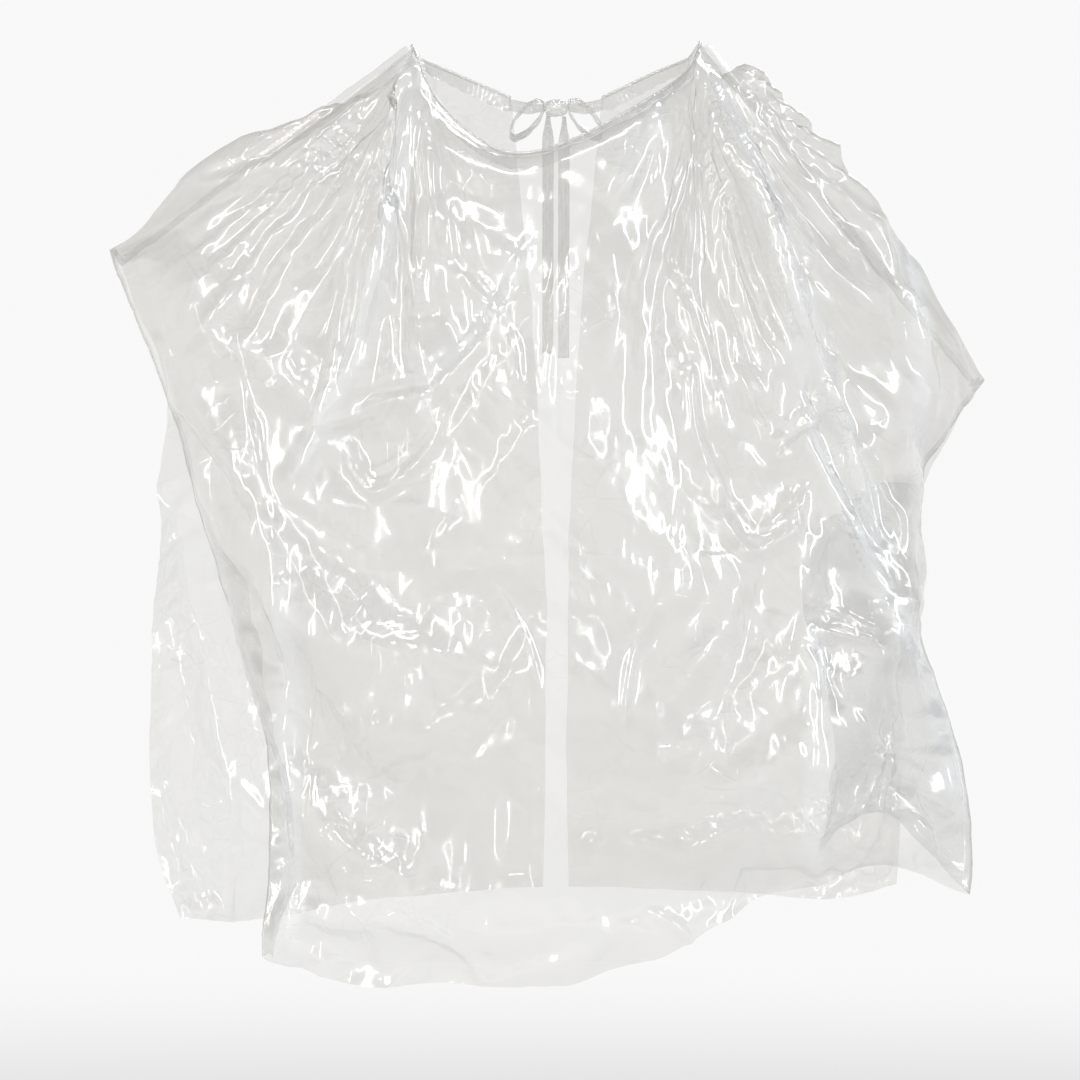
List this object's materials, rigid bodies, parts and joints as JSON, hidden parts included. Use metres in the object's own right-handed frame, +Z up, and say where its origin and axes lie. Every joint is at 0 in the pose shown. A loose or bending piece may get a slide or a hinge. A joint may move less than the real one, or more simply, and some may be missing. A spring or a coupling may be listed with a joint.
{
  "type": "disposable salon cape",
  "caption": "Clear film salon cape, draped as worn: front panel over both shoulders, open back panels, gathered neck band and ties in a bow at the nape.",
  "frame": {"origin": "on the axis of the wearer's neck, level with the lowest point of the neckline", "axes": "+Z up, -Y to the wearer's front, +X to the wearer's left"},
  "size_m": [0.5343, 0.2899, 0.5618],
  "materials": {
    "film": "clear, glossy and crinkled",
    "seal": "milky weld",
    "band": "clear, folded and gathered",
    "tie": "clear, bunched lengthways"
  },
  "bodies": {
    "front": {"front_panel": "film", "right_shoulder_seal": "seal", "left_shoulder_seal": "seal", "neck_band": "band", "right_neck_tie": "tie", "left_neck_tie": "tie", "bow_knot": "tie"},
    "right_back": {"right_back_panel": "film"},
    "left_back": {"left_back_panel": "film"},
    "right_loop": {"right_bow_loop": "tie"},
    "left_loop": {"left_bow_loop": "tie"},
    "right_tail": {"right_tie_tail": "tie"},
    "left_tail": {"left_tie_tail": "tie"}
  },
  "joints": [
    {"name": "right_back_lifts", "type": "hinge", "parent": "front", "child": "right_back", "pos_m": [-0.087, 0.00196, 0.066], "axis": [0.7999, -0.117, 0.5886], "range_deg": [0, 70]},
    {"name": "left_back_lifts", "type": "hinge", "parent": "front", "child": "left_back", "pos_m": [0.087, 0.00196, 0.06897], "axis": [0.6237, 0.0973, -0.7756], "range_deg": [0, 70]},
    {"name": "right_loop_lifts", "type": "hinge", "parent": "front", "child": "right_loop", "pos_m": [-0.00935, 0.07628, 0.03709], "axis": [0, 0.7547, 0.6561], "range_deg": [0, 30]},
    {"name": "left_loop_lifts", "type": "hinge", "parent": "front", "child": "left_loop", "pos_m": [0.00935, 0.07628, 0.03709], "axis": [0, -0.7547, -0.6561], "range_deg": [0, 30]},
    {"name": "right_tail_swings", "type": "hinge", "parent": "front", "child": "right_tail", "pos_m": [-0.005, 0.07591, 0.02868], "axis": [0, 1, 0], "range_deg": [-15, 15]},
    {"name": "left_tail_swings", "type": "hinge", "parent": "front", "child": "left_tail", "pos_m": [0.005, 0.0741, 0.02711], "axis": [0, 1, 0], "range_deg": [-15, 15]}
  ]
}
